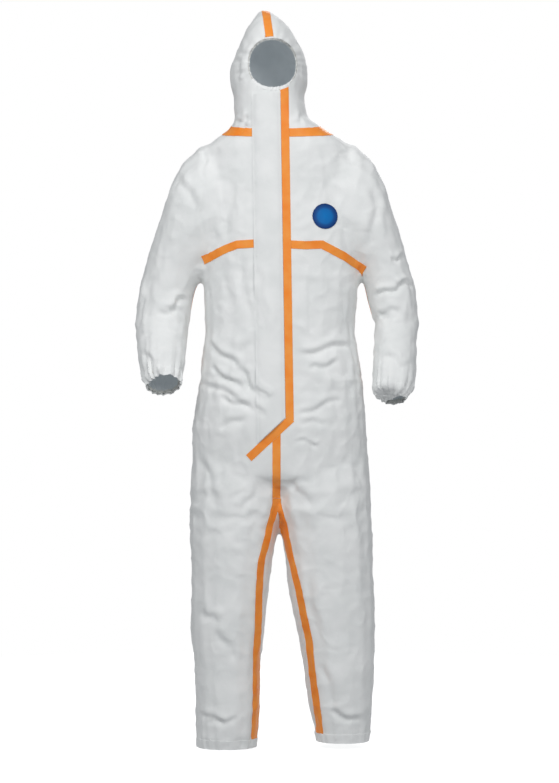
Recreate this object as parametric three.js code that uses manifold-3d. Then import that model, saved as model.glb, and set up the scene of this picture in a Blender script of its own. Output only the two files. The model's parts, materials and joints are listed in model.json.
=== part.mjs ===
// Hooded chemical protective suit: a white laminated coverall whose seams are covered by orange
// tape, closed by a zip under a storm flap, with elastic at the face, wrists, waist and ankles.
// Millimetres, +Z up. The wearer faces -Y and the wearer's left is +X. The origin is on the floor
// between the two trouser hems.
//
// The suit is drawn as it hangs on a body: three soft tubes (body with hood, sleeves, legs) are
// lofted and joined into one outer form. Everything sewn is a thin layer of that form, cut to its
// outline. The zip, its slider and the storm flap are straight pieces in a frame of their own.
import * as THREE from 'three';
import { mergeVertices } from 'three/addons/utils/BufferGeometryUtils.js';
import Module from 'manifold-3d';

const wasm = await Module();
wasm.setup();

// ---- driving dimensions ------------------------------------------------------------------
// Lengths of the suit from the floor up
const LEG_LENGTH = 545;          // floor to crotch
const TRUNK_LENGTH = 930;        // crotch to neck seam at the side
const HOOD_HEIGHT = 285;         // neck seam to the tip of the hood
const LEFT_HEM_LIFT = 14;        // the left trouser hem hangs this much above the right one
const GIRTH_EASE = 0;            // added to every half width of the body and the legs

// Layers, measured outwards from the inner face of the fabric
const FABRIC = 1.2;              // drawn wall of the laminated nonwoven
const GAP = 0.3;                 // clearance between touching pieces
const TAPE = 0.6;                // drawn thickness of the seam tape
const TAPE_WIDTH = 19;
const HEM_PROUD = 1.2;           // the turned hems stand this much outside the fabric
const ELASTIC = 1.2;             // thickness of the elastic bands

// Openings
const FACE = { x: -16, z: 1620, halfWidth: 55, halfHeight: 57.5 };
const FACE_HEM = 8;              // width of the hem round the face
const CUFF_HEM = 14;             // height of the turned cuff hem
const ANKLE_HEM = 22;            // height of the turned trouser hem
const ELASTIC_INSET = 3;         // the elastic bands sit this far inside both edges of a hem

// Zip, slider and storm flap
const ZIP_LENGTH = 765;
const ZIP_FOOT_X = -14;          // the zip line leans a little to the wearer's right as it rises
const ZIP_HEAD_X = -26;
const ZIP_BELOW_FACE = 9.5;      // head of the zip below the face hem
const ZIP_TAPE = 9;              // width of each zip tape
const TEETH_WIDTH = 2.7;
const TEETH_HEIGHT = 2.4;
const SLIDER_LENGTH = 14;
const SLIDER_NECK = 2.2;         // wedge that runs between the two rows of teeth
const SLIDER_WING = 12;          // width of the slider's upper and lower plates
const WING_THICKNESS = 1.4;
const PULL_LENGTH = 28;
const PULL_WIDTH = 7;
const PULL_THICKNESS = 1.2;
const POST_RADIUS = 1.3;
const FLAP_WIDTH = 67;
const FLAP_ROOT = 27.5;          // sewn edge of the flap, to the left of the zip line
const FLAP_CLEARANCE = 1;        // air between the slider's highest point and the flap
const FLAP_FOOT = { across: 96, down: 89 };   // run of the diagonal tape under the flap
const ADHESIVE_WIDTH = 10;
const BADGE = { x: 107, z: 1260, radius: 30 };

// ---- landmarks worked out from them ----------------------------------------------------------
const CROTCH = LEG_LENGTH;
const NECK = CROTCH + TRUNK_LENGTH;
const TIP = NECK + HOOD_HEIGHT;
const DRAWN = { crotch: 545, neck: 1475, tip: 1760 };   // heights that the station tables use
const ZIP_HEAD = height(FACE.z) - FACE.halfHeight - FACE_HEM - ZIP_BELOW_FACE;
const ZIP_FOOT = ZIP_HEAD - ZIP_LENGTH;
const FRONT_FOOT_Y = -127;       // the front is straight from the hips to the chin, so the zip is too
const FRONT_HEAD_Y = -112;
const FAR = 2500;                // half size of the cutting blocks

// A table height carried to the present leg, trunk and hood lengths
function height(z) {
  if (z <= DRAWN.crotch) return z * CROTCH / DRAWN.crotch;
  if (z <= DRAWN.neck) {
    return CROTCH + (z - DRAWN.crotch) * TRUNK_LENGTH / (DRAWN.neck - DRAWN.crotch);
  }
  return NECK + (z - DRAWN.neck) * HOOD_HEIGHT / (DRAWN.tip - DRAWN.neck);
}

const along = (z) => (z - ZIP_FOOT) / ZIP_LENGTH;
const frontY = (z) => FRONT_FOOT_Y + (FRONT_HEAD_Y - FRONT_FOOT_Y) * along(z);
const zipX = (z) => ZIP_FOOT_X + (ZIP_HEAD_X - ZIP_FOOT_X) * along(z);

// ---- solids -------------------------------------------------------------------------------
function solid(geometry) {
  const bare = geometry.clone();
  bare.deleteAttribute('normal');
  bare.deleteAttribute('uv');
  const merged = mergeVertices(bare, 1e-5);
  const triVerts = Uint32Array.from(merged.index.array);
  const vertProperties = Float32Array.from(merged.attributes.position.array);
  return new wasm.Manifold(new wasm.Mesh({ numProp: 3, vertProperties, triVerts }));
}

// The largest body of a cut, without the crumbs that a cut can leave
function largest(cut) {
  return cut.decompose().reduce((best, body) => (body.volume() > best.volume() ? body : best));
}

function geometryOf(body) {
  const mesh = body.getMesh();
  const geometry = new THREE.BufferGeometry();
  geometry.setAttribute('position', new THREE.BufferAttribute(mesh.vertProperties, mesh.numProp));
  geometry.setIndex(new THREE.BufferAttribute(mesh.triVerts, 1));
  geometry.computeVertexNormals();
  return geometry;
}

// A soft tube through a row of rings, each grown outwards by `layer` along the surface
function tube(rings, layer) {
  const sides = rings[0].length;
  const vertices = [];
  rings.forEach((ring, i) => {
    const before = rings[Math.max(i - 1, 0)];
    const after = rings[Math.min(i + 1, rings.length - 1)];
    ring.forEach((point, j) => {
      const round = ring[(j + 1) % sides].clone().sub(ring[(j + sides - 1) % sides]);
      const onward = after[j].clone().sub(before[j]);
      const outward = round.cross(onward).normalize();
      vertices.push(...point.clone().addScaledVector(outward, layer).toArray());
    });
  });
  const index = [];
  for (let i = 0; i + 1 < rings.length; i += 1) {
    for (let j = 0; j < sides; j += 1) {
      const a = i * sides + j;
      const b = i * sides + (j + 1) % sides;
      index.push(a, b, b + sides, a, b + sides, a + sides);
    }
  }
  const last = (rings.length - 1) * sides;
  for (let j = 1; j + 1 < sides; j += 1) {
    index.push(0, j + 1, j, last, last + j, last + j + 1);
  }
  const geometry = new THREE.BufferGeometry();
  geometry.setAttribute('position', new THREE.Float32BufferAttribute(vertices, 3));
  geometry.setIndex(index);
  return solid(geometry);
}

// One ring: a rounded oval about `centre`, `wide` being half its width and `deep` half its depth
function oval(centre, wide, deep, squareness, sides) {
  const power = (value) => Math.sign(value) * Math.abs(value) ** (2 / squareness);
  return Array.from({ length: sides }, (_, j) => {
    const angle = 2 * Math.PI * j / sides;
    return centre.clone()
      .addScaledVector(wide, power(Math.cos(angle)))
      .addScaledVector(deep, power(Math.sin(angle)));
  });
}

// Rings of an upright tube from rows of [height, right edge, left edge, front, back, squareness]
function uprightRings(rows, sides, ease) {
  return rows.map(([z, right, left, front, back, squareness]) => {
    const centre = new THREE.Vector3((right + left) / 2, (front + back) / 2, z);
    const wide = new THREE.Vector3((left - right) / 2 + ease, 0, 0);
    const deep = new THREE.Vector3(0, (back - front) / 2, 0);
    return oval(centre, wide, deep, squareness, sides);
  });
}

// Middle line of a sleeve, and its rings, from rows of [inner x, inner z, outer x, outer z, y,
// half depth]; each ring stands square to the line
function sleeveLine(rows) {
  return rows.map(([ix, iz, ox, oz, y]) => new THREE.Vector3((ix + ox) / 2, y, (iz + oz) / 2));
}

function onwardAt(line, i) {
  const before = line[Math.max(i - 1, 0)];
  return line[Math.min(i + 1, line.length - 1)].clone().sub(before).normalize();
}

function sleeveRings(rows, sides) {
  const line = sleeveLine(rows);
  return rows.map(([ix, iz, ox, oz, , depth], i) => {
    const wide = new THREE.Vector3((ox - ix) / 2, 0, (oz - iz) / 2);
    const deep = onwardAt(line, i).cross(wide).setLength(depth);
    return oval(line[i], wide, deep, 2, sides);
  });
}

// ---- stations of the soft tubes ---------------------------------------------------------------
const BODY_SIDES = 24;
const LIMB_SIDES = 14;

const bodyRows = [
  // height, right, left, back, squareness; the front follows the straight front line up to the chin
  [595, -125, 120, 50, 2],
  [652, -206, 212, 114, 2.2],
  [757, -208, 208, 128, 2.3],
  [876, -190, 198, 118, 2.3],
  [996, -177, 178, 105, 2.3],
  [1091, -181, 184, 110, 2.3],
  [1190, -188, 190, 118, 2.3],
  [1300, -190, 188, 114, 2.2],
  [1385, -188, 182, 98, 2.1],
  [1427, -178, 172, 86, 2],
  [1449, -152, 146, 80, 2],
  [1466, -124, 112, 78, 2.2],
  [1482, -110, 90, 80, 2.5],
  [1500, -105, 66, 85, 2.7],
  [1550, -106, 56, 108, 2.5],
].map(([z, right, left, back, squareness]) => {
  const front = z < 600 ? -50 : z < 700 ? -114 : frontY(height(z));
  return [height(z), right, left, front, back, squareness];
});
const hoodRows = [
  [1585, -115, 64, -108, 126, 2.3],
  [1620, -117, 65, -103, 136, 2.2],
  [1655, -106, 57, -96, 138, 2.1],
  [1685, -95, 43, -84, 132, 2],
  [1710, -82, 28, -68, 118, 2],
  [1732, -68, 10, -46, 96, 2],
  [1749, -55, -10, -20, 70, 2],
  [1760, -44, -28, 8, 36, 2],
].map(([z, ...rest]) => [height(z), ...rest]);

const rightLegRows = [
  // height, outer, inner, front, back, squareness
  [-30, -192, -58, -62, 62, 2.2],
  [0, -194, -56, -64, 64, 2.2],
  [30, -197, -51, -74, 72, 2.2],
  [88, -198, -48, -80, 80, 2.2],
  [184, -203, -48, -86, 88, 2.2],
  [279, -210, -38, -92, 94, 2.2],
  [375, -210, -26, -98, 100, 2.2],
  [470, -213, -14, -104, 106, 2.2],
  [530, -215, -5, -108, 110, 2.2],
  [570, -215, 8, -110, 112, 2.2],
  [630, -213, 28, -109, 113, 2.2],
  [700, -206, 40, -98, 104, 2.2],
  [760, -180, 30, -70, 75, 2.2],
].map(([z, ...rest]) => [height(z), ...rest]);
const leftLegRows = [
  [-20, 94, 210, -58, 58, 2.2],
  [14, 92, 212, -60, 60, 2.2],
  [44, 84, 217, -70, 70, 2.2],
  [100, 68, 221, -80, 80, 2.2],
  [184, 60, 227, -88, 90, 2.2],
  [279, 43, 227, -94, 96, 2.2],
  [375, 22, 225, -100, 102, 2.2],
  [470, 12, 222, -105, 107, 2.2],
  [530, 3, 220, -108, 110, 2.2],
  [570, -10, 219, -110, 112, 2.2],
  [630, -30, 216, -109, 113, 2.2],
  [700, -42, 210, -98, 104, 2.2],
  [760, -32, 188, -70, 75, 2.2],
].map(([z, ...rest]) => [height(z), ...rest]);

const rightSleeveRows = [
  // inner x, inner z, outer x, outer z, y, half depth
  [-120, 1155, -120, 1452, -5, 86],
  [-180, 1120, -186, 1437, -4, 86],
  [-192, 1110, -226, 1400, 0, 84],
  [-200, 1102, -256, 1345, 4, 82],
  [-204, 1094, -285, 1262, 8, 78],
  [-206, 1085, -311, 1182, 10, 75],
  [-209, 1066, -336, 1091, 8, 72],
  [-215, 1019, -344, 1010, -8, 67],
  [-221, 962, -337, 950, -42, 61],
  [-224, 918, -331, 908, -76, 56],
  [-230, 888, -322, 882, -101, 47],
  [-236, 870, -312, 866, -116, 41],
  [-238, 850, -310, 846, -133, 40],
];
const leftSleeveRows = [
  [118, 1165, 118, 1450, -5, 86],
  [178, 1138, 180, 1437, -4, 86],
  [189, 1129, 219, 1400, 0, 84],
  [195, 1123, 248, 1350, 4, 82],
  [200, 1117, 275, 1264, 8, 78],
  [205, 1108, 300, 1185, 10, 74],
  [213, 1084, 324, 1102, 10, 70],
  [227, 1018, 331, 1018, 0, 62],
  [223, 955, 326, 950, -24, 57],
  [221, 895, 322, 888, -52, 53],
  [220, 862, 316, 855, -70, 46],
  [222, 842, 296, 838, -80, 40],
  [224, 820, 294, 816, -92, 39],
];
const carry = (rows) => rows.map(([ix, iz, ox, oz, ...rest]) => (
  [ix, height(iz), ox, height(oz), ...rest]));

const bodyRings = uprightRings([...bodyRows, ...hoodRows], BODY_SIDES, GIRTH_EASE);
const legRings = [rightLegRows, leftLegRows].map((rows) => (
  uprightRings(rows, LIMB_SIDES, GIRTH_EASE)));
const sleeveRows = [rightSleeveRows, leftSleeveRows].map(carry);
const armRings = sleeveRows.map((rows) => sleeveRings(rows, LIMB_SIDES));

// The whole outer form grown by `layer`, kept once made
const forms = new Map();
function form(layer) {
  if (!forms.has(layer)) {
    const tubes = [bodyRings, ...legRings, ...armRings].map((rings) => tube(rings, layer));
    forms.set(layer, tubes.reduce((whole, next) => whole.add(next)));
  }
  return forms.get(layer);
}

// The skin of the form between two layers
const skin = (inside, outside) => form(outside).subtract(form(inside));

const fabricSkin = skin(0, FABRIC);
const tapeSkin = skin(FABRIC + GAP, FABRIC + GAP + TAPE);
const hemSkin = skin(-HEM_PROUD, FABRIC + HEM_PROUD);
const elasticSkin = skin(-HEM_PROUD - GAP - ELASTIC, -HEM_PROUD - GAP);
const innerSkin = skin(-GAP - ELASTIC, -GAP);

// ---- cutting blocks ---------------------------------------------------------------------------
// A prism along Y from an outline of [x, z] points
function prism(outline, front = -FAR, back = FAR) {
  const shape = new THREE.Shape(outline.map(([x, z]) => new THREE.Vector2(x, z)));
  const geometry = new THREE.ExtrudeGeometry(shape, { depth: back - front, bevelEnabled: false });
  geometry.rotateX(Math.PI / 2);
  geometry.translate(0, back, 0);
  return solid(geometry);
}

// A prism along X from an outline of [y, z] points
function sidePrism(outline) {
  const shape = new THREE.Shape(outline.map(([y, z]) => new THREE.Vector2(y, z)));
  const geometry = new THREE.ExtrudeGeometry(shape, { depth: 2 * FAR, bevelEnabled: false });
  geometry.rotateX(Math.PI / 2);
  geometry.rotateZ(Math.PI / 2);
  geometry.translate(-FAR, 0, 0);
  return solid(geometry);
}

// All that lies ahead of a plane through `point` square to `normal`
function ahead(point, normal) {
  const geometry = new THREE.BoxGeometry(2 * FAR, 2 * FAR, 2 * FAR);
  geometry.translate(0, 0, FAR);
  const turn = new THREE.Quaternion()
    .setFromUnitVectors(new THREE.Vector3(0, 0, 1), normal.clone().normalize());
  geometry.applyQuaternion(turn);
  geometry.translate(point.x, point.y, point.z);
  return solid(geometry);
}

// A slab of the given thickness across `normal`, its middle `shift` ahead of `point`
function slab(point, normal, shift, thickness) {
  const unit = normal.clone().normalize();
  const near = point.clone().addScaledVector(unit, shift - thickness / 2);
  const far = point.clone().addScaledVector(unit, shift + thickness / 2);
  return ahead(near, unit).subtract(ahead(far, unit));
}

// A strip of even width along a path of [x, z] points
function strip(path, width, front = -FAR, back = FAR) {
  const points = path.map(([x, z]) => new THREE.Vector2(x, z));
  const edge = (side) => points.map((point, i) => {
    const into = point.clone().sub(points[Math.max(i - 1, 0)]).normalize();
    const out = points[Math.min(i + 1, points.length - 1)].clone().sub(point).normalize();
    const heading = into.clone().add(out).normalize();
    const turn = i > 0 && i + 1 < points.length ? heading.dot(into) : 1;
    return [point.x - side * heading.y * width / 2 / turn,
      point.y + side * heading.x * width / 2 / turn];
  });
  return prism([...edge(-1), ...edge(1).reverse()], front, back);
}

const faceOutline = (grow) => {
  const centre = new THREE.Vector3(FACE.x, height(FACE.z), 0);
  const wide = new THREE.Vector3(FACE.halfWidth + grow, 0, 0);
  const tall = new THREE.Vector3(0, FACE.halfHeight + grow, 0);
  return oval(centre, wide, tall, 2.2, BODY_SIDES).map((point) => [point.x, point.y]);
};
const faceBlock = (grow) => prism(faceOutline(grow), -FAR, 0);

const layerOver = (...cuts) => cuts.reduce((left, cut) => left.intersect(cut));
const without = (body, ...cuts) => cuts.reduce((left, cut) => left.subtract(cut), body);

// ---- seams --------------------------------------------------------------------------------------
// Neck seam: a plane that is lower in front
const neckPoint = new THREE.Vector3(0, 0, NECK);
const neckNormal = new THREE.Vector3(0, -0.17, 1);
const aboveNeck = ahead(neckPoint.clone().add(new THREE.Vector3(0, 0, GAP / 2)), neckNormal);
const belowNeck = ahead(neckPoint.clone().sub(new THREE.Vector3(0, 0, GAP / 2)),
  neckNormal.clone().negate());

// Chest seam between the yoke and the lower pieces, highest beside the zip
const chestRight = [[-181, 1158], [-131, 1182], [-100, 1193], [-60, 1195], [-20, 1195]]
  .map(([x, z]) => [x, height(z)]);
const chestLeft = [[-20, 1195], [60, 1191], [100, 1193], [150, 1168], [203, 1137]]
  .map(([x, z]) => [x, height(z)]);
const chestSeam = [...chestRight, ...chestLeft.slice(1)];

// Centre seam: along the zip line, then over the crotch and between the legs
const hoodSeamX = -24;
const hoodTipX = -36;
const centreSeam = [[hoodTipX, TIP + 40], [hoodTipX, TIP], [hoodSeamX, NECK],
  [zipX(ZIP_FOOT), ZIP_FOOT], [-7, height(735)], [-7, height(600)], [-2, CROTCH], [-2, -100]];

// Where each sleeve is set on: an upright armhole, then the air between the arm and the trunk
const armholes = [
  [[-183, 1520], [-183, 1112], [-197, 1082], [-200, 1010], [-208, 900], [-216, 800], [-600, 760]],
  [[180, 1520], [180, 1130], [196, 1100], [200, 1040], [204, 940], [207, 860], [211, 780],
    [600, 760]],
].map((line) => line.map(([x, z]) => [x, height(z)]));

const moved = (outline, dx, dz) => outline.map(([x, z]) => [x + dx, z + dz]);
const half = GAP / 2;
const sides = ['right', 'left'];

const sideOf = (i) => (i === 0 ? -1 : 1);
const sleeveBlock = (i, grow) => prism([
  ...moved(armholes[i], -sideOf(i) * grow, -grow), [sideOf(i) * 600, height(1520)]]);
const halfBlock = (i) => prism([...moved(centreSeam, sideOf(i) * half, 0),
  [sideOf(i) * FAR, -100], [sideOf(i) * FAR, TIP + 40]]);
const aboveChest = prism([...moved(chestSeam, 0, half), [FAR, chestSeam.at(-1)[1] + half],
  [FAR, 2 * FAR], [-FAR, 2 * FAR], [-FAR, chestSeam[0][1] + half]]);
const belowChest = prism([...moved(chestSeam, 0, -half), [FAR, chestSeam.at(-1)[1] - half],
  [FAR, -FAR], [-FAR, -FAR], [-FAR, chestSeam[0][1] - half]]);

// The slot that the zip fills
const SLOT = ZIP_TAPE + TEETH_WIDTH + SLIDER_NECK / 2 + 3 * GAP;
const zipSlot = prism([[zipX(ZIP_FOOT) - SLOT, ZIP_FOOT - 2], [zipX(ZIP_FOOT) + SLOT, ZIP_FOOT - 2],
  [zipX(ZIP_HEAD) + SLOT, ZIP_HEAD + 2], [zipX(ZIP_HEAD) - SLOT, ZIP_HEAD + 2]], -FAR, 0);

// ---- materials ----------------------------------------------------------------------------------
const finish = (color, roughness, metalness = 0) => (
  new THREE.MeshStandardMaterial({ color, roughness, metalness }));
const WHITE = '#e4e6e5';
const ORANGE = '#f29a45';
const materials = {
  fabric: () => finish(WHITE, 0.72),
  hem: () => finish('#eceeed', 0.7),
  tape: () => finish(ORANGE, 0.42),
  elastic: () => finish('#f1f1ee', 0.9),
  zipTape: () => finish('#e9e9e6', 0.85),
  teeth: () => finish('#f3f3f0', 0.35),
  slider: () => finish('#f2f2f0', 0.38),
  adhesive: () => finish('#f4f1de', 0.3),
  badge: () => finish('#0b6bb0', 0.5),
};

const suit = new THREE.Group();
function add(name, body, material, parent = suit) {
  const mesh = new THREE.Mesh(geometryOf(largest(body)), materials[material]());
  mesh.name = name;
  parent.add(mesh);
  return mesh;
}

// ---- hems and elastics --------------------------------------------------------------------------
const hemPlanes = sleeveRows.map((rows) => {
  const line = sleeveLine(rows);
  return { point: line.at(-2), onward: onwardAt(line, line.length - 2) };
});
const hemFloors = [0, LEFT_HEM_LIFT];

const faceHem = without(layerOver(hemSkin, faceBlock(FACE_HEM)), faceBlock(0));
add('face_hem', faceHem, 'hem');
const faceElastic = without(layerOver(elasticSkin, faceBlock(FACE_HEM - 2)), faceBlock(2));
add('face_elastic', faceElastic, 'elastic');

sides.forEach((side, i) => {
  const { point, onward } = hemPlanes[i];
  const within = sleeveBlock(i, -GAP);
  const hem = slab(point, onward, -CUFF_HEM / 2, CUFF_HEM);
  add(`cuff_hem_${side}`, layerOver(hemSkin, within, hem), 'hem');
  const band = slab(point, onward, -CUFF_HEM / 2, CUFF_HEM - 2 * ELASTIC_INSET);
  add(`wrist_elastic_${side}`, layerOver(elasticSkin, within, band), 'elastic');
});

const up = new THREE.Vector3(0, 0, 1);
sides.forEach((side, i) => {
  const floor = new THREE.Vector3(0, 0, hemFloors[i]);
  const hem = slab(floor, up, ANKLE_HEM / 2, ANKLE_HEM);
  add(`ankle_hem_${side}`, layerOver(hemSkin, halfBlock(i), hem), 'hem');
  const band = slab(floor, up, ANKLE_HEM / 2, ANKLE_HEM - 2 * ELASTIC_INSET);
  add(`ankle_elastic_${side}`, layerOver(elasticSkin, halfBlock(i), band), 'elastic');
});

const WAIST = height(985);
const WAIST_ELASTIC = 12;
const waistBand = slab(new THREE.Vector3(0, 0, WAIST), up, 0, WAIST_ELASTIC);
const behindSides = ahead(new THREE.Vector3(0, -30, 0), new THREE.Vector3(0, 1, 0));
const trunkOnly = without(waistBand, sleeveBlock(0, 0), sleeveBlock(1, 0));
add('waist_elastic', layerOver(innerSkin, trunkOnly, behindSides), 'elastic');

// ---- fabric pieces ------------------------------------------------------------------------------
sides.forEach((side, i) => {
  const { point, onward } = hemPlanes[i];
  const ownHalf = halfBlock(i);
  const hood = without(layerOver(fabricSkin, aboveNeck, ownHalf), faceBlock(FACE_HEM + GAP), zipSlot);
  add(`hood_${side}`, hood, 'fabric');

  const yoke = without(layerOver(fabricSkin, belowNeck, aboveChest, ownHalf),
    sleeveBlock(i, GAP), zipSlot);
  add(`yoke_${side}`, yoke, 'fabric');

  const cuffEnd = point.clone().addScaledVector(onward, -CUFF_HEM - GAP);
  const sleeve = layerOver(fabricSkin, sleeveBlock(i, 0), ahead(cuffEnd, onward.clone().negate()));
  add(`sleeve_${side}`, sleeve, 'fabric');

  const hemTop = new THREE.Vector3(0, 0, hemFloors[i] + ANKLE_HEM + GAP);
  const lower = without(layerOver(fabricSkin, belowChest, ownHalf, ahead(hemTop, up)),
    sleeveBlock(i, GAP), zipSlot);
  add(`lower_${side}`, lower, 'fabric');
});

// ---- seam tapes -----------------------------------------------------------------------------------
const TAPE_CENTRE = FLAP_ROOT + 1 + TAPE_WIDTH / 2;   // middle of the front tape, left of the zip
const footCorner = [zipX(height(781)) + TAPE_CENTRE, height(781)];
const footEnd = [footCorner[0] - FLAP_FOOT.across, footCorner[1] - FLAP_FOOT.down];
const frontTapePath = [[zipX(height(1600)) + TAPE_CENTRE, height(1600)], footCorner];
const footTapePath = [[footCorner[0] + 4, footCorner[1] + 4], footEnd];
const crotchPath = [[-7, height(790)], [-7, height(597)]];
const hoodTapePath = [[hoodSeamX, NECK - 60], [hoodSeamX, height(1690)], [hoodTipX, TIP + 20]];
const backPath = [[hoodSeamX, NECK + 40], [zipX(ZIP_FOOT), ZIP_FOOT], [-7, height(735)],
  [-7, height(612)]];
const wide = TAPE_WIDTH + 2 * GAP;

const footStrip = strip(footTapePath, TAPE_WIDTH, -FAR, 0);
add('flap_foot_tape', layerOver(tapeSkin, footStrip), 'tape');

const frontStrip = strip(frontTapePath, TAPE_WIDTH, -FAR, 0);
const footWide = strip(footTapePath, wide, -FAR, 0);
add('centre_front_tape', without(layerOver(tapeSkin, frontStrip), footWide,
  faceBlock(FACE_HEM + GAP)), 'tape');
add('crotch_tape', without(layerOver(tapeSkin, strip(crotchPath, TAPE_WIDTH, -FAR, 0)), footWide,
  ahead(new THREE.Vector3(0, 0, footCorner[1] - 30), up)), 'tape');

const belowFace = prism([[-FAR, 0], [FAR, 0], [FAR, height(FACE.z)], [-FAR, height(FACE.z)]], -FAR, 0);
const neckSlab = slab(neckPoint, neckNormal, 0, TAPE_WIDTH);
const neckWide = slab(neckPoint, neckNormal, 0, wide);
add('hood_tape', without(layerOver(tapeSkin, strip(hoodTapePath, TAPE_WIDTH)), belowFace,
  faceBlock(FACE_HEM + GAP), neckWide, ahead(neckPoint, neckNormal.clone().negate())), 'tape');
const backWide = strip(backPath, wide, 0, FAR);
add('back_centre_tape', without(layerOver(tapeSkin, strip(backPath, TAPE_WIDTH, 0, FAR)),
  neckWide, ahead(neckPoint, neckNormal)), 'tape');

// Front zone from the flap's free edge to the far edge of the front tape
const flapEdge = FLAP_ROOT - FLAP_WIDTH;
const flapZone = prism([
  [zipX(CROTCH) + flapEdge - 2 * GAP, CROTCH],
  [zipX(CROTCH) + TAPE_CENTRE + wide / 2, CROTCH],
  [zipX(TIP) + TAPE_CENTRE + wide / 2, TIP],
  [zipX(TIP) + flapEdge - 2 * GAP, TIP]], -FAR, 0);
sides.forEach((side, i) => {
  const ownHalf = halfBlock(i);
  add(`neck_tape_${side}`, without(layerOver(tapeSkin, neckSlab, ownHalf), flapZone, backWide), 'tape');

  const chest = i === 0 ? chestRight : chestLeft;
  add(`chest_tape_${side}`, without(layerOver(tapeSkin, strip(chest, TAPE_WIDTH, -FAR, 0)),
    flapZone), 'tape');
  add(`back_yoke_tape_${side}`, without(layerOver(tapeSkin, strip(chest, TAPE_WIDTH, 0, FAR)),
    backWide), 'tape');
});

const INSEAM_PROJECTED = 15;     // seen from the front, because the inner leg curves away
const inseams = [
  [[-9, 610], [-9, 585], [-22, 530], [-43, 447], [-55, 232], [-58, 0]],
  [[-4, 610], [-4, 585], [10, 530], [22, 470], [46, 375], [69, 256], [90, 80], [100, 0]],
].map((path) => path.map(([x, z]) => [x, height(z)]));
const crotchEnd = prism([[-FAR, height(596)], [FAR, height(596)], [FAR, TIP], [-FAR, TIP]]);
sides.forEach((side, i) => {
  const hemTop = new THREE.Vector3(0, 0, hemFloors[i] + ANKLE_HEM + GAP);
  add(`inseam_tape_${side}`, without(layerOver(tapeSkin, halfBlock(i), ahead(hemTop, up),
    strip(inseams[i], INSEAM_PROJECTED, -FAR, -8)), crotchEnd), 'tape');
});

// Behind the middle line of each sleeve: the forearm comes forward from the elbow
const underarms = [
  [[-206, 1108], [-222, 1040], [-233, 960], [-240, 905]],
  [[208, 1128], [226, 1060], [240, 1000], [236, 920], [234, 872]],
].map((path) => path.map(([x, z]) => [x, height(z)]));
sides.forEach((side, i) => {
  const line = sleeveLine(sleeveRows[i]).slice(6).map((point) => [point.y + 6, point.z]);
  const behind = sidePrism([[line[0][0], TIP], ...line, [FAR / 2, line.at(-1)[1]], [FAR / 2, TIP]]);
  const clearOfHem = slab(hemPlanes[i].point, hemPlanes[i].onward, 0, 2 * (CUFF_HEM + GAP));
  add(`underarm_tape_${side}`, without(layerOver(tapeSkin, sleeveBlock(i, -GAP),
    strip(underarms[i], INSEAM_PROJECTED), behind), clearOfHem), 'tape');
});

// ---- badge ----------------------------------------------------------------------------------------
const badgeRing = oval(new THREE.Vector3(BADGE.x, height(BADGE.z), 0),
  new THREE.Vector3(BADGE.radius, 0, 0), new THREE.Vector3(0, BADGE.radius, 0), 2, BODY_SIDES);
const badgeBlock = prism(badgeRing.map((point) => [point.x, point.y]), -FAR, 0);
add('badge', layerOver(tapeSkin, badgeBlock), 'badge');

// ---- zip, slider and storm flap ---------------------------------------------------------------------
// Their frame: origin at the foot of the zip, +Z up the zip, -Y out of the chest
const zipFoot = new THREE.Vector3(zipX(ZIP_FOOT), frontY(ZIP_FOOT), ZIP_FOOT);
const zipHead = new THREE.Vector3(zipX(ZIP_HEAD), frontY(ZIP_HEAD), ZIP_HEAD);
const zipRun = zipHead.clone().sub(zipFoot);
const zipLength = zipRun.length();
const front = new THREE.Group();
front.position.copy(zipFoot);
front.quaternion.setFromUnitVectors(up, zipRun.clone().normalize());
suit.add(front);

// A straight bar up the zip from an outline of [x, y] points
function bar(outline, from, to) {
  const shape = new THREE.Shape(outline.map(([x, y]) => new THREE.Vector2(x, y)));
  const geometry = new THREE.ExtrudeGeometry(shape, { depth: to - from, bevelEnabled: false });
  geometry.translate(0, 0, from);
  return solid(geometry);
}
const rectangle = (x0, x1, y0, y1) => [[x0, y0], [x1, y0], [x1, y1], [x0, y1]];
function disc(radius, y0, y1, z) {
  const geometry = new THREE.CylinderGeometry(radius, radius, y1 - y0, 20);
  geometry.translate(0, (y0 + y1) / 2, z);
  return solid(geometry);
}

const teethIn = SLIDER_NECK / 2 + GAP;
const teethOut = teethIn + TEETH_WIDTH;
const teethTop = -FABRIC / 2 - TEETH_HEIGHT / 2;
const teethBottom = -FABRIC / 2 + TEETH_HEIGHT / 2;
const STOP = 5;                  // length of the stops at both ends of the teeth
sides.forEach((side, i) => {
  const s = sideOf(i);
  const spread = (x0, x1) => [Math.min(s * x0, s * x1), Math.max(s * x0, s * x1)];
  const [tape0, tape1] = spread(teethOut + GAP, teethOut + GAP + ZIP_TAPE);
  add(`zip_tape_${side}`, bar(rectangle(tape0, tape1, -FABRIC, 0), 0, zipLength), 'zipTape', front);
  const [row0, row1] = spread(teethIn, teethOut);
  add(`zip_teeth_${side}`, bar(rectangle(row0, row1, teethTop, teethBottom), STOP + GAP,
    zipLength - STOP - GAP), 'teeth', front);
  add(`zip_top_stop_${side}`, bar(rectangle(row0, row1, teethTop - 0.4, teethBottom + 0.4),
    zipLength - STOP, zipLength), 'teeth', front);
});
add('zip_bottom_stop', bar(rectangle(-teethOut, teethOut, teethTop - 0.4, teethBottom + 0.4), 0, STOP),
  'teeth', front);

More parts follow.
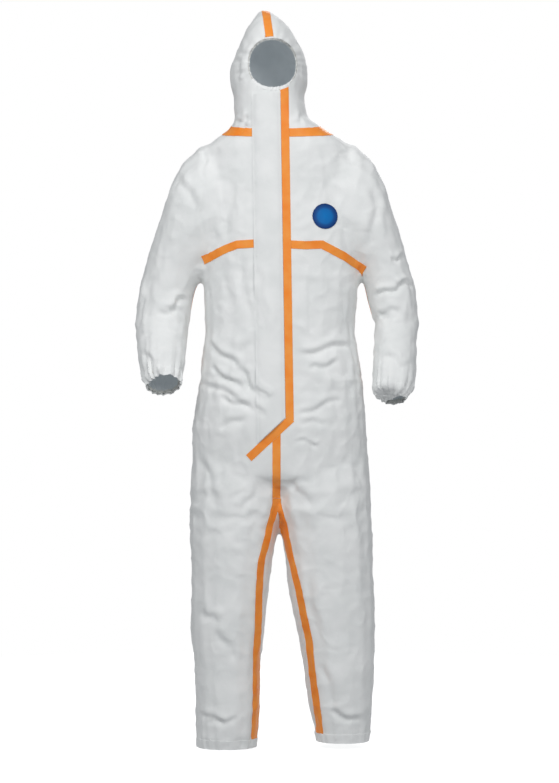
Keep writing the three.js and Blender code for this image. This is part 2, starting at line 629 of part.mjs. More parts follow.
const SLIDER_REST = zipLength - STOP - 2 * GAP - SLIDER_LENGTH;   // lower end of the closed slider
const wingTop = teethTop - GAP - WING_THICKNESS;
const wingBottom = teethBottom + GAP + WING_THICKNESS;
const wing = SLIDER_WING / 2;
const neckHalf = SLIDER_NECK / 2;
const sliderOutline = [[-wing, wingTop], [wing, wingTop], [wing, teethTop - GAP],
  [neckHalf, teethTop - GAP], [neckHalf, teethBottom + GAP], [wing, teethBottom + GAP],
  [wing, wingBottom], [-wing, wingBottom], [-wing, teethBottom + GAP],
  [-neckHalf, teethBottom + GAP], [-neckHalf, teethTop - GAP], [-wing, teethTop - GAP]];
const pullBack = wingTop - GAP;
const pullFace = pullBack - PULL_THICKNESS;
const headFace = pullFace - GAP - 0.8;
const postZ = SLIDER_REST + SLIDER_LENGTH / 2;
const slider = bar(sliderOutline, SLIDER_REST, SLIDER_REST + SLIDER_LENGTH)
  .add(disc(POST_RADIUS, pullFace - GAP, wingTop + 0.5, postZ))
  .add(disc(POST_RADIUS + 1.2, headFace, pullFace - GAP, postZ));
add('slider_body', slider, 'slider', front);

const pullOutline = rectangle(-PULL_WIDTH / 2, PULL_WIDTH / 2, pullFace, pullBack);
const pull = bar(pullOutline, postZ - PULL_LENGTH, postZ + PULL_WIDTH / 2)
  .subtract(disc(POST_RADIUS + GAP, pullFace - 1, pullBack + 1, postZ));
add('slider_pull', pull, 'slider', front);

// The flap lies on the chest at both edges and is raised over the slider in the middle
const flapInner = headFace - FLAP_CLEARANCE;
const flapSeat = -FABRIC - 2 * GAP;
const crest0 = -PULL_LENGTH * Math.sin(THREE.MathUtils.degToRad(25)) - PULL_WIDTH / 2 - 2;
const crest1 = 15;
const flapOutline = [[flapEdge, flapSeat], [crest0, flapInner], [crest1, flapInner],
  [FLAP_ROOT, flapSeat], [FLAP_ROOT, flapSeat - FABRIC], [crest1, flapInner - FABRIC],
  [crest0, flapInner - FABRIC], [flapEdge, flapSeat - FABRIC]].reverse();
const frame = new THREE.Matrix4().compose(front.position, front.quaternion, new THREE.Vector3(1, 1, 1));
const toWorld = (body) => body.transform(Array.from(frame.elements));
const backAgain = (body) => body.transform(Array.from(frame.clone().invert().elements));
const footFall = ahead(new THREE.Vector3(footCorner[0], 0, footCorner[1]),
  new THREE.Vector3(89, 0, -96));
const footClear = footFall.translate([-89, 0, 96].map((part) => (
  part / Math.hypot(89, 96) * (TAPE_WIDTH / 2 + 1))));
const flap = without(toWorld(bar(flapOutline, -80, zipLength + 6)), footClear,
  faceBlock(FACE_HEM + GAP));
add('storm_flap', backAgain(flap), 'fabric', front);

const adhesivePath = [ZIP_HEAD - 6, ZIP_FOOT].map((z) => [zipX(z) + flapEdge + 11, z]);
add('flap_adhesive_strip', layerOver(tapeSkin, strip(adhesivePath, ADHESIVE_WIDTH, -FAR, 0)),
  'adhesive');

export default suit;
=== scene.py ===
import json
import math

import bmesh
import bpy
import numpy as np
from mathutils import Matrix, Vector, noise
from mathutils.bvhtree import BVHTree


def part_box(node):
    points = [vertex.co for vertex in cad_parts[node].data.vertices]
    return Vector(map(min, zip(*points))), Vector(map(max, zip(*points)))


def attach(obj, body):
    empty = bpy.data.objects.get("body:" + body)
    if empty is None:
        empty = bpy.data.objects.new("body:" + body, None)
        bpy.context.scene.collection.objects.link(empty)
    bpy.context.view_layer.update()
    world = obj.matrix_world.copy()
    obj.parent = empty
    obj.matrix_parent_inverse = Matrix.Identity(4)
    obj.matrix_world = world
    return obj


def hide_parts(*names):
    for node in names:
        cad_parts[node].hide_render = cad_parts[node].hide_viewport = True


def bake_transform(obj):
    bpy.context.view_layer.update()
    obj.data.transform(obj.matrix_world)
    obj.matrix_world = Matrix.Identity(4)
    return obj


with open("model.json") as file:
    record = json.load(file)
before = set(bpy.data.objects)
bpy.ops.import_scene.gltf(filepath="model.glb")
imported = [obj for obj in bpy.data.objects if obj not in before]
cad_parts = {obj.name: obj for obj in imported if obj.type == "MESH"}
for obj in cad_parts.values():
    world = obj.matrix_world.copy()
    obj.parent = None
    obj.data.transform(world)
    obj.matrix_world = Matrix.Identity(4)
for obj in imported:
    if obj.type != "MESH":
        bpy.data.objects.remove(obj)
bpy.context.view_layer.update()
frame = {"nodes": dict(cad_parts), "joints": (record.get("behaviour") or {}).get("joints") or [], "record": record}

SIDES = ("right", "left")
NODES = frame["nodes"]
JOINT = {joint["name"]: joint for joint in frame["joints"]}

# ---- sizes of the cloth work, in metres ---------------------------------------------------------
VOXEL = 0.009              # grain of the cloth before it is subdivided
FABRIC = 0.0007            # drawn thickness of the laminated nonwoven
HEM_DEPTH = 0.0010         # the turned hems are several layers
TAPE_THICKNESS = 0.0005
TAPE_LIFT = 0.0009         # the tape's inner face above the cloth's middle
CHORD = 0.007              # longest edge of a tape before it is laid on the cloth
SIM_FRAMES = 16
EXTRA_CLOTH = 0.019        # the cloth is cut this share larger than the body it hangs on
HIP = 0.226                # the sleeves hang outside this half width, the hips inside it
CAP = 0.012                # how far a point may move in the simulation
HEM_ROLL = 0.0048          # half width of the rolled hem round the face
FLAP_FABRIC = 0.0009       # drawn thickness of the storm flap
FOOT_SLOPE = 0.927         # rise over run of the flap's foot, which runs down to its free edge
COIL_PITCH = 0.0026        # one turn of the nylon coil
COIL_RADIUS = 0.00085
COIL_BAR = 0.0045          # length of one bar of the coil


# ---- materials -----------------------------------------------------------------------------------
def linear(hex_colour):
    parts = [int(hex_colour[i:i + 2], 16) / 255 for i in (1, 3, 5)]
    return tuple(c / 12.92 if c <= 0.04045 else ((c + 0.055) / 1.055) ** 2.4 for c in parts) + (1.0,)


def node(tree, kind, links=(), **settings):
    """Adds a node, sets its properties or inputs by name, and links (source, output) to inputs."""
    made = tree.nodes.new(kind)
    for name, value in settings.items():
        if hasattr(made, name):
            setattr(made, name, value)
        else:
            made.inputs[name.replace("_", " ")].default_value = value
    for target, (source, output) in dict(links).items():
        tree.links.new(source.outputs[output], made.inputs[target])
    return made


def material(name, slot, roughness, colour, build, **uniform):
    """A principled material; build(tree, coordinates) gives its colour, roughness and bump links."""
    made = bpy.data.materials.new(name)
    made.use_nodes = True
    made["slot"] = slot
    tree = made.node_tree
    shader = tree.nodes["Principled BSDF"]
    shader.inputs["Base Color"].default_value = linear(colour)
    shader.inputs["Roughness"].default_value = roughness
    for key, value in uniform.items():
        shader.inputs[key.replace("_", " ")].default_value = value
    place = node(tree, "ShaderNodeTexCoord")
    for socket, (source, output) in build(tree, place).items():
        tree.links.new(source.outputs[output], shader.inputs[socket])
    return made


def mottle(tree, place, dark, light, scale, detail=3.0):
    """A soft mix of two colours by a noise whose grain is `scale` metres."""
    grain = node(tree, "ShaderNodeTexNoise", {"Vector": (place, "Object")}, Scale=1 / scale,
                 Detail=detail)
    ramp = node(tree, "ShaderNodeValToRGB", {"Fac": (grain, "Fac")})
    ramp.color_ramp.elements[0].position = 0.32
    ramp.color_ramp.elements[1].position = 0.68
    ramp.color_ramp.elements[0].color = linear(dark)
    ramp.color_ramp.elements[1].color = linear(light)
    return ramp, grain


def bumped(tree, source, output, strength, distance, below=None):
    links = {"Height": (source, output)}
    if below:
        links["Normal"] = (below, "Normal")
    return node(tree, "ShaderNodeBump", links, Strength=strength, Distance=distance)


def nonwoven(dark, light):
    """Flash-spun sheet under a thin film: fine swirled fibres, and sharp small creases."""
    def build(tree, place):
        colour, _ = mottle(tree, place, dark, light, 0.06)
        warp = node(tree, "ShaderNodeTexNoise", {"Vector": (place, "Object")}, Scale=30.0, Detail=2.0)
        bent = node(tree, "ShaderNodeMix", {"A": (place, "Object"), "B": (warp, "Color")},
                    data_type="VECTOR", Factor=0.03)
        creases = node(tree, "ShaderNodeTexVoronoi", {"Vector": (bent, 1)},
                       feature="DISTANCE_TO_EDGE", Scale=1 / 0.034)
        edge = node(tree, "ShaderNodeMapRange", {"Value": (creases, "Distance")}, From_Max=0.16)
        swirl = node(tree, "ShaderNodeTexNoise", {"Vector": (place, "Object")}, Scale=1 / 0.011,
                     Detail=5.0, Distortion=1.2)
        fibre = node(tree, "ShaderNodeTexNoise", {"Vector": (place, "Object")}, Scale=1 / 0.0022,
                     Detail=3.0, Distortion=2.0)
        first = bumped(tree, edge, "Result", 0.10, 0.0008)
        second = bumped(tree, swirl, "Fac", 0.22, 0.0012, first)
        third = bumped(tree, fibre, "Fac", 0.12, 0.0003, second)
        gloss = node(tree, "ShaderNodeMapRange", {"Value": (swirl, "Fac")}, To_Min=0.52, To_Max=0.72)
        return {"Base Color": (colour, "Color"), "Normal": (third, "Normal"),
                "Roughness": (gloss, "Result")}
    return build


def film(dark, light):
    """Pressed polymer film: even colour, faint rolled texture, the cloth's creases showing through."""
    def build(tree, place):
        colour, grain = mottle(tree, place, dark, light, 0.03)
        wrinkle = node(tree, "ShaderNodeTexNoise", {"Vector": (place, "Object")}, Scale=1 / 0.006,
                       Detail=3.0, Distortion=0.8)
        first = bumped(tree, wrinkle, "Fac", 0.25, 0.0006)
        gloss = node(tree, "ShaderNodeMapRange", {"Value": (grain, "Fac")}, To_Min=0.36, To_Max=0.52)
        return {"Base Color": (colour, "Color"), "Normal": (first, "Normal"),
                "Roughness": (gloss, "Result")}
    return build


def woven(dark, light, pitch):
    """Plain weave: crossed ribs one thread pitch apart."""
    def build(tree, place):
        colour, _ = mottle(tree, place, dark, light, 0.01)
        ribs = node(tree, "ShaderNodeTexWave", {"Vector": (place, "Object")}, Scale=0.314 / pitch,
                    bands_direction="Z")
        cross = node(tree, "ShaderNodeTexWave", {"Vector": (place, "Object")}, Scale=0.314 / pitch,
                     bands_direction="X")
        first = bumped(tree, ribs, "Fac", 0.5, 0.0003)
        second = bumped(tree, cross, "Fac", 0.3, 0.0002, first)
        return {"Base Color": (colour, "Color"), "Normal": (second, "Normal")}
    return build


def printed(tree, place):
    """Blue printed label: a dark rim about a lighter middle, with no lettering."""
    low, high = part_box("badge")
    middle = (low + high) / 2
    shifted = node(tree, "ShaderNodeMapping", {"Vector": (place, "Object")})
    shifted.inputs["Location"].default_value = (-middle.x, 0.0, -middle.z)
    shifted.inputs["Scale"].default_value = (1.0, 0.0, 1.0)
    reach = node(tree, "ShaderNodeVectorMath", {0: (shifted, "Vector")}, operation="LENGTH")
    radius = (high.x - low.x) / 2
    ring = node(tree, "ShaderNodeMapRange", {"Value": (reach, "Value")}, From_Max=radius)
    ramp = node(tree, "ShaderNodeValToRGB", {"Fac": (ring, "Result")})
    stops = ((0.0, "#0478c4"), (0.55, "#026bb5"), (0.72, "#0b4f93"), (0.86, "#063f80"),
             (1.0, "#04336c"))
    for position, colour in stops[1:-1]:
        ramp.color_ramp.elements.new(position).color = linear(colour)
    ramp.color_ramp.elements[0].color = linear(stops[0][1])
    ramp.color_ramp.elements[-1].color = linear(stops[-1][1])
    grain = node(tree, "ShaderNodeTexNoise", {"Vector": (place, "Object")}, Scale=1 / 0.0015,
                 Detail=3.0)
    first = bumped(tree, grain, "Fac", 0.3, 0.0003)
    return {"Base Color": (ramp, "Color"), "Normal": (first, "Normal")}


# Soft off-white cloth with fine fibres and small sharp creases that catch the light
LAMINATE = material("white_laminated_nonwoven", "fabric", 0.6, "#eceeed",
                    nonwoven("#e9ebea", "#f3f4f3"), Sheen_Weight=0.08, Specular_IOR_Level=0.35)
# A greyer, duller face for the inside of the suit at its openings: the grey is painted shade, and the faint
# emission is a painted glow that lifts the shaded inside
INNER_PAINTED_SHADE_GLOW = material("inner_face_with_painted_shade_and_glow", "fabric", 0.8, "#e0e4e6", nonwoven("#d9dee1", "#e6eaec"),
                  Emission_Color=linear("#dfe6ea"), Emission_Strength=0.06)
# A little whiter than the panels, so that the turned edges stand out
HEMMING = material("turned_nonwoven_hem", "hem_fabric", 0.65, "#f0f1f0",
                   nonwoven("#eceeed", "#f7f8f7"), Sheen_Weight=0.08)
# Bright orange strips with a low satin shine
SEAM_FILM = material("orange_seam_tape_film", "seam_tape", 0.42, "#f49540",
                     film("#fd8f30", "#ffa247"), Specular_IOR_Level=0.25)
# Dull off-white band with crossed ribs
ELASTIC = material("woven_elastic_band", "elastic", 0.85, "#e4e4df", woven("#d6d6d0", "#ecece8", 0.0012))
# Finer ribs than the elastic, beside the coil
ZIP_CLOTH = material("woven_polyester_zip_tape", "zip_tape", 0.8, "#e6e6e2",
                     woven("#d9d9d4", "#efefeb", 0.0009))
# Pale, slightly glossy coil
NYLON = material("nylon_zip_coil", "zip_teeth", 0.35, "#eeeeea", film("#e2e2dd", "#f4f4f0"))
# Cool pale grey with a thin clear shine
ENAMEL = material("white_enamelled_zinc", "slider", 0.32, "#d8dadb", film("#cfd1d2", "#e0e2e3"),
                  Coat_Weight=0.3)
# Cream paper over the adhesive
RELEASE = material("release_paper_strip", "adhesive", 0.4, "#efe9cf", film("#e8e1c4", "#f5f0dc"))
# Deep blue disc with a darker rim and no lettering
LABEL = material("blue_printed_label", "badge", 0.5, "#0a66ab", printed, Specular_IOR_Level=0.2)


# ---- camera, floor and light -------------------------------------------------------------------------
CAMERA_DISTANCE = 6.0
FRAME_HEIGHT = 1.872        # what the camera takes in at the suit
EYE = Vector((0.0, -CAMERA_DISTANCE, 0.848))
SENSOR = 36.0
camera = bpy.data.objects.new("camera", bpy.data.cameras.new("camera"))
camera.data.sensor_width = SENSOR
camera.data.lens = SENSOR * CAMERA_DISTANCE / FRAME_HEIGHT
camera.location = EYE
camera.rotation_euler = (math.radians(90), 0, 0)
bpy.context.scene.collection.objects.link(camera)
bpy.context.scene.camera = camera
bpy.context.scene.view_settings.view_transform = "Standard"


def lamp(name, spot, size, watts, aim=(0, 0, 0.95)):
    light = bpy.data.objects.new(name, bpy.data.lights.new(name, "AREA"))
    light.data.shape = "DISK"
    light.data.size = size
    light.data.energy = watts
    light.location = spot
    light.rotation_euler = (Vector(aim) - Vector(spot)).to_track_quat("-Z", "Y").to_euler()
    bpy.context.scene.collection.objects.link(light)


lamp("key", (-1.3, -3.2, 3.4), 1.5, 68)
lamp("fill", (1.8, -3.6, 2.6), 2.2, 46)
lamp("back", (0.6, 3.4, 2.8), 2.4, 52)

world = bpy.data.worlds.new("studio")
bpy.context.scene.world = world
world.use_nodes = True
tree = world.node_tree
soft = tree.nodes["Background"]
soft.inputs["Color"].default_value = linear("#eef1f5")
soft.inputs["Strength"].default_value = 0.36
paper = node(tree, "ShaderNodeBackground", Strength=1.0)
paper.inputs["Color"].default_value = (1, 1, 1, 1)
path = node(tree, "ShaderNodeLightPath")
mix = node(tree, "ShaderNodeMixShader", {0: (path, "Is Camera Ray"), 1: (soft, 0), 2: (paper, 0)})
tree.links.new(mix.outputs[0], tree.nodes["World Output"].inputs["Surface"])

ground = bmesh.new()
bmesh.ops.create_circle(ground, cap_ends=True, segments=96, radius=2.2)
bmesh.ops.translate(ground, verts=ground.verts, vec=(0, 0, -0.001))
floor_mesh = bpy.data.meshes.new("floor")
ground.to_mesh(floor_mesh)
ground.free()
floor = bpy.data.objects.new("floor", floor_mesh)
bpy.context.scene.collection.objects.link(floor)


def painted(tree, place):
    colour, _ = mottle(tree, place, "#b4b4b4", "#bcbcbc", 0.4)
    return {"Base Color": (colour, "Color")}


floor_mesh.materials.append(material("matt_white_studio_floor", "", 0.9, "#f7f7f7", painted,
                                     Emission_Strength=0.86, Emission_Color=(1, 1, 1, 1)))
floor.visible_diffuse = False          # the white paper under the suit does not light it from below


# ---- meshes --------------------------------------------------------------------------------------
def piece(name, bm, materials, body="root", stands_for=()):
    """Makes a finished object from a bmesh: smooth, with its creases kept sharp."""
    mesh = bpy.data.meshes.new(name)
    bm.to_mesh(mesh)
    bm.free()
    mesh.shade_smooth()
    mesh.set_sharp_from_angle(angle=math.radians(50))
    made = bpy.data.objects.new(name, mesh)
    bpy.context.scene.collection.objects.link(made)
    for one in materials:
        mesh.materials.append(one)
    if body:
        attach(made, body)
    if stands_for:
        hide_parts(*stands_for)
    return made


def copy_of(name):
    """The merged mesh of a CAD node."""
    bm = bmesh.new()
    bm.from_mesh(NODES[name].data)
    bmesh.ops.remove_doubles(bm, verts=bm.verts, dist=1e-5)
    bm.normal_update()
    return bm


def smoothed(points, pairs, rounds, pull=0.5, push=-0.53):
    """Taubin smoothing: evens out facets and keeps the size."""
    count = np.zeros(len(points))
    np.add.at(count, pairs[:, 0], 1)
    np.add.at(count, pairs[:, 1], 1)
    count = np.maximum(count, 1)[:, None]
    for step in range(2 * rounds):
        total = np.zeros_like(points)
        np.add.at(total, pairs[:, 0], points[pairs[:, 1]])
        np.add.at(total, pairs[:, 1], points[pairs[:, 0]])
        points = points + (pull if step % 2 == 0 else push) * (total / count - points)
    return points


def read(mesh):
    points = np.zeros(len(mesh.vertices) * 3)
    mesh.vertices.foreach_get("co", points)
    pairs = np.zeros(len(mesh.edges) * 2, int)
    mesh.edges.foreach_get("vertices", pairs)
    return points.reshape(-1, 3), pairs.reshape(-1, 2)


def normals(mesh):
    made = np.zeros(len(mesh.vertices) * 3)
    mesh.vertices.foreach_get("normal", made)
    return made.reshape(-1, 3)


def write(mesh, points):
    mesh.vertices.foreach_set("co", points.ravel())
    mesh.update()


# ---- the closed form that the cloth hangs on -------------------------------------------------------
# Middle lines of the body, the legs and the sleeves: they tell the outside of a wall from its inside
BODY_LINE = [(-0.008, -0.005, 0.60), (-0.02, -0.01, 1.46), (-0.025, 0.02, 1.62), (-0.036, 0.02, 1.73)]
LEG_LINE = {"right": [(-0.123, 0, -0.05), (-0.110, 0, 0.62)], "left": [(0.152, 0, -0.05), (0.10, 0, 0.62)]}
SLEEVE_LINE = {
    "right": [(-0.12, -0.004, 1.30), (-0.205, 0, 1.25), (-0.245, 0.008, 1.18), (-0.28, -0.008, 1.015),
              (-0.277, -0.076, 0.913), (-0.274, -0.13, 0.850)],
    "left": [(0.12, -0.004, 1.30), (0.205, 0, 1.25), (0.245, 0.008, 1.17), (0.279, 0, 1.018),
             (0.271, -0.052, 0.892), (0.259, -0.09, 0.820)]}
PANELS = [f"{part}_{side}" for part in ("hood", "yoke", "sleeve", "lower") for side in SIDES]
HEMS = ["face_hem"] + [f"{part}_{side}" for part in ("cuff_hem", "ankle_hem") for side in SIDES]


def lines_of(name):
    side = "right" if name.endswith("right") else "left"
    if name.startswith(("sleeve", "cuff")):
        return [SLEEVE_LINE[side]]
    if name.startswith("ankle"):
        return [LEG_LINE[side]]
    return [BODY_LINE, LEG_LINE[side]] if name.startswith("lower") else [BODY_LINE]


def nearest_on(lines, point):
    best = None
    for line in lines:
        for a, b in zip(line, line[1:]):
            a, run = Vector(a), Vector(b) - Vector(a)
            share = max(0.0, min(1.0, (point - a).dot(run) / run.length_squared))
            spot = a + run * share
            if best is None or (spot - point).length < (best - point).length:
                best = spot
    return best


def hem_plane(name):
    """Middle of a hem's mouth, and the way out of it along the limb."""
    side = name.split("_")[-1]
    low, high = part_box(name)
    if name.startswith("ankle"):
        return Vector(((low.x + high.x) / 2, 0, low.z)), Vector((0, 0, -1))
    line = SLEEVE_LINE[side]
    onward = (Vector(line[-1]) - Vector(line[-3])).normalized()
    bm = copy_of(name)
    reach = max(onward.dot(v.co) for v in bm.verts)
    bm.free()
    middle = (low + high) / 2
    return middle + onward * (reach - onward.dot(middle)), onward


def closed_form():
    """Outer faces of every panel and hem, joined, closed and remeshed to an even grain."""
    whole = bmesh.new()
    for name in PANELS + HEMS:
        bm = copy_of(name)
        lines = lines_of(name)
        inward = [f for f in bm.faces
                  if f.normal.dot((f.calc_center_median() - nearest_on(lines, f.calc_center_median()))
                                  .normalized()) < 0.12]
        bmesh.ops.delete(bm, geom=inward, context="FACES")
        part = bpy.data.meshes.new("part")
        bm.to_mesh(part)
        bm.free()
        whole.from_mesh(part)
        bpy.data.meshes.remove(part)
    bmesh.ops.remove_doubles(whole, verts=whole.verts, dist=0.0016)
    for name in HEMS[1:]:
        mouth, out = hem_plane(name)
        ring = [e for e in whole.edges if e.is_boundary and abs((e.verts[0].co - mouth).dot(out)) < 0.004
                and (e.verts[0].co - mouth).length < 0.12]
        grown = bmesh.ops.extrude_edge_only(whole, edges=ring)["geom"]
        tips = [g for g in grown if isinstance(g, bmesh.types.BMVert)]
        bmesh.ops.translate(whole, verts=tips, vec=out * 0.035)
    bmesh.ops.holes_fill(whole, edges=[e for e in whole.edges if e.is_boundary], sides=0)
    bmesh.ops.triangulate(whole, faces=whole.faces)
    bmesh.ops.recalc_face_normals(whole, faces=whole.faces)
    mesh = bpy.data.meshes.new("form")
    whole.to_mesh(mesh)
    whole.free()
    made = bpy.data.objects.new("form", mesh)
    bpy.context.scene.collection.objects.link(made)
    even = made.modifiers.new("even grain", "REMESH")
    even.mode = "VOXEL"
    even.voxel_size = VOXEL
    even.adaptivity = 0
    bpy.context.view_layer.update()
    fine = bpy.data.meshes.new_from_object(made.evaluated_get(bpy.context.evaluated_depsgraph_get()))
    made.modifiers.clear()
    made.data = fine
    points, pairs = read(fine)
    write(fine, smoothed(points, pairs, 14))
    return made


def settle(made):
    """Hangs the cloth: it is cut a little larger than the body, softly held, and buckles in folds."""
    rest, pairs = read(made.data)
    hold = made.vertex_groups.new(name="hold")
    for i, point in enumerate(rest):
        hold.add([i], grip(Vector(point)), "REPLACE")
    cloth = made.modifiers.new("cloth", "CLOTH")
    cloth.settings.quality = 5
    cloth.settings.mass = 0.2
    cloth.settings.air_damping = 3
    cloth.settings.tension_stiffness = 30
    cloth.settings.compression_stiffness = 30
    cloth.settings.shear_stiffness = 12
    cloth.settings.bending_stiffness = 0.6
    cloth.settings.shrink_min = -EXTRA_CLOTH
    cloth.settings.vertex_group_mass = "hold"
    cloth.settings.pin_stiffness = 0.6
    cloth.settings.effector_weights.gravity = 0.6
    cloth.collision_settings.use_collision = False
    cloth.point_cache.frame_start, cloth.point_cache.frame_end = 1, SIM_FRAMES
    for step in range(1, SIM_FRAMES + 1):
        bpy.context.scene.frame_set(step)
    settled = made.evaluated_get(bpy.context.evaluated_depsgraph_get()).to_mesh()
    moved, _ = read(settled)
    made.to_mesh_clear()
    made.modifiers.clear()
    bpy.context.scene.frame_set(1)
    shift = moved - rest
    length = np.linalg.norm(shift, axis=1, keepdims=True)
    shift *= np.minimum(1, CAP / np.maximum(length, 1e-9))
    shift *= np.clip(0.55 + (rest[:, 2:3] - 0.40) / 0.5, 0.55, 1)      # the trouser legs hang flatter
    write(made.data, smoothed(rest + shift, pairs, 3))


def near(value, middle, reach):
    return max(0.0, 1 - abs(value - middle) / reach)


def grip(point):
    """How firmly the body inside holds the cloth at a point: least where real suits fold."""
    held = 0.38
    if point.z > 1.15:
        held = 0.55
    held -= 0.14 * near(point.z, 0.90, 0.16)                       # slack over the waist
    held -= 0.16 * near(point.z, 0.60, 0.14)                       # crotch and hips
    if abs(point.x) > 0.20 and point.z > 0.80:
        held = 0.42 - 0.26 * near(point.z, 1.05, 0.14)             # sleeves, slack at the elbow
    if point.y < -0.08 and abs(point.x + 0.012) < 0.05 and point.z > 0.74:
        held = 0.95                                                # the zip keeps the front straight
    for name in HEMS[1:]:
        mouth, out = MOUTHS[name]
        own = "ankle" in name or abs(point.x) > HIP
        if own and (point - mouth).length < 0.13 and (mouth - point).dot(out) < 0.012:
            held = 1.0
    return min(1.0, max(0.06, held))


# Folds on the front: start x and z, end x and z, depth and half width, in millimetres
FOLDS = [
    (-107, 1347, -134, 1201, 3.5, 13), (-103, 1177, -57, 979, 4, 15), (-60, 1150, -48, 1010, 2.5, 12),
    (-178, 966, -90, 900, 6, 9), (-98, 908, -46, 828, 6, 9), (-172, 908, -81, 850, 6, 8),
    (-146, 836, -46, 798, 5, 8), (-194, 874, -60, 812, 5, 9), (-84, 878, -46, 834, 4, 7),
    (-150, 760, -70, 790, 3, 9), (43, 932, 176, 962, 5, 9), (66, 898, 146, 918, 4, 8),
    (36, 790, 152, 832, 3.5, 8), (45, 774, 120, 776, 2, 8), (26, 735, 100, 721, 2.5, 6),
    (150, 700, 195, 640, 3, 10), (-188, 700, -150, 590, 4, 12), (-140, 1180, -120, 1040, 3, 14),
    (-181, 1433, -177, 1342, 1.5, 5), (-177, 1342, -184, 1211, 1.5, 5), (-246, 1368, -190, 1268, 4, 12),
    (-218, 1074, -268, 1036, 6, 9), (-224, 1040, -290, 1030, 4, 9), (-320, 950, -287, 882, 5, 9),
    (-300, 1130, -325, 1040, 4, 11), (230, 1344, 220, 1185, 4, 13), (262, 1158, 302, 1166, 5, 7),
    (270, 1106, 322, 1102, 5, 7), (222, 1072, 300, 1098, 6, 8), (232, 1030, 290, 1042, 4, 9),
    (240, 940, 300, 900, 4, 11), (-158, 296, -98, 208, 4, 12), (-190, 330, -140, 300, 4, 12),
    (96, 212, 146, 58, 4, 13), (-195, 90, -120, 60, 4, 9), (-180, 60, -90, 78, 3, 8),
    (110, 90, 200, 66, 4, 9), (60, 420, 90, 260, 3, 14), (-40, 640, -90, 560, 3, 11),
    (24, 640, 80, 570, 3, 11), (-112, 1690, -84, 1640, 4, 8), (-112, 1650, -86, 1596, 4, 8),
    (-106, 1610, -92, 1580, 3, 7), (-104, 1478, -70, 1492, 4, 7), (-100, 1462, -60, 1476, 3, 6),
    (60, 1500, 30, 1470, 3, 7), (140, 1420, 190, 1380, 3, 12), (-140, 1425, -186, 1390, 3, 12)]
# Folds on the back: the same form
BACK_FOLDS = [
    (-150, 930, -20, 905, 6, 10), (150, 935, 10, 900, 6, 10), (-160, 870, -30, 850, 5, 9),
    (155, 868, 30, 846, 5, 9), (-120, 990, -40, 960, 4, 9), (125, 985, 40, 958, 4, 9),
    (-60, 620, -150, 560, 6, 11), (50, 620, 150, 560, 6, 11), (-90, 1300, -60, 1150, 4, 15),
    (90, 1300, 60, 1150, 4, 15), (-190, 1330, -150, 1200, 5, 12), (190, 1330, 150, 1200, 5, 12),
    (-220, 1060, -300, 1040, 5, 9), (225, 1060, 300, 1040, 5, 9), (-150, 330, -90, 290, 5, 11),
    (100, 320, 180, 290, 5, 11), (-160, 90, -90, 70, 4, 9), (110, 95, 190, 75, 4, 9),
    (-60, 1560, 20, 1540, 4, 10), (-80, 1520, 30, 1505, 4, 8)]


def creased(points, facing, folds, side):
    """Adds each fold as a valley with a ridge above it, faded at its ends and round the sides."""
    out = np.zeros(len(points))
    shown = np.clip(facing[:, 1] * side * 1.6, 0, 1)
    for x0, z0, x1, z1, depth, width in folds:
        start, run = np.array([x0, z0]) / 1000, np.array([x1 - x0, z1 - z0]) / 1000
        long = np.linalg.norm(run)
        run /= long
        offset = points[:, [0, 2]] - start
        forward = offset @ run / long
        wander = 0.004 * np.sin(9 * forward + x0)
        across = offset @ np.array([-run[1], run[0]]) * (1 if run[0] > 0 else -1) + wander
        fade = np.clip(forward / 0.22, 0, 1) * np.clip((1 - forward) / 0.22, 0, 1)
        fade = fade * fade * (3 - 2 * fade)
        w = width / 1000
        ridge = 0.75 * np.exp(-((across - 1.5 * w) / w) ** 2) - np.exp(-(across / (0.8 * w)) ** 2)
        out += depth / 1000 * ridge * fade * shown
    return out


def rippled(points):
    """Small gathers that fade away from each elastic opening."""
    out = np.zeros(len(points))
    for name, count, depth, reach in (("cuff_hem_right", 15, 3.2, 40), ("cuff_hem_left", 14, 2.8, 36),
                                      ("ankle_hem_right", 17, 1.1, 45), ("ankle_hem_left", 16, 1.1, 45)):
        mouth, axis = MOUTHS[name]
        first = axis.orthogonal().normalized()
        second = axis.cross(first)
        offset = points - np.array(mouth)
        back = -offset @ np.array(axis)
        angle = np.arctan2(offset @ np.array(second), offset @ np.array(first))
        close = (np.linalg.norm(offset, axis=1) < 0.20) & (np.abs(points[:, 0] - mouth.x) < 0.12)
        if "cuff" in name:
            close &= np.abs(points[:, 0]) > HIP
        wave = np.sin(count * angle + 2.0 * np.sin(3 * angle)) + 0.4 * np.sin((2 * count + 1) * angle)
        out += close * depth / 1000 * wave * np.exp(-np.abs(back - 0.012) / (reach / 1000))
    low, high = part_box("face_hem")
    centre = (low + high) / 2
    dx, dz = points[:, 0] - centre.x, points[:, 2] - centre.z
    radius = np.hypot(dx / (high.x - low.x), dz / (high.z - low.z)) * 2
    angle = np.arctan2(dz, dx)
    close = (points[:, 1] < 0) & (radius > 0.8)
    out += close * 0.0012 * np.sin(23 * angle + 2 * np.sin(4 * angle)) * np.exp(-np.abs(radius - 1) / 0.25)
    return out


def crumpled(points):
    """Shallow hollows and sharp little ridges, as a stiff sheet has after it was folded flat."""
    out = np.zeros(len(points))
    for i, point in enumerate(points):
        at = Vector(point)
        broad = noise.noise(at * 8.0)
        ridge = (1 - abs(noise.noise(at * 21.0 + Vector((7, 3, 1))))) ** 6
        small = noise.noise(at * 55.0)
        out[i] = 0.0030 * broad + 0.0016 * (ridge - 0.35) + 0.00035 * small
    return out


def reaching(name, axis):
    """Lowest and highest reach of a CAD node along an axis."""
    along = [axis.dot(v.co) for v in NODES[name].data.vertices]
    return min(along), max(along)


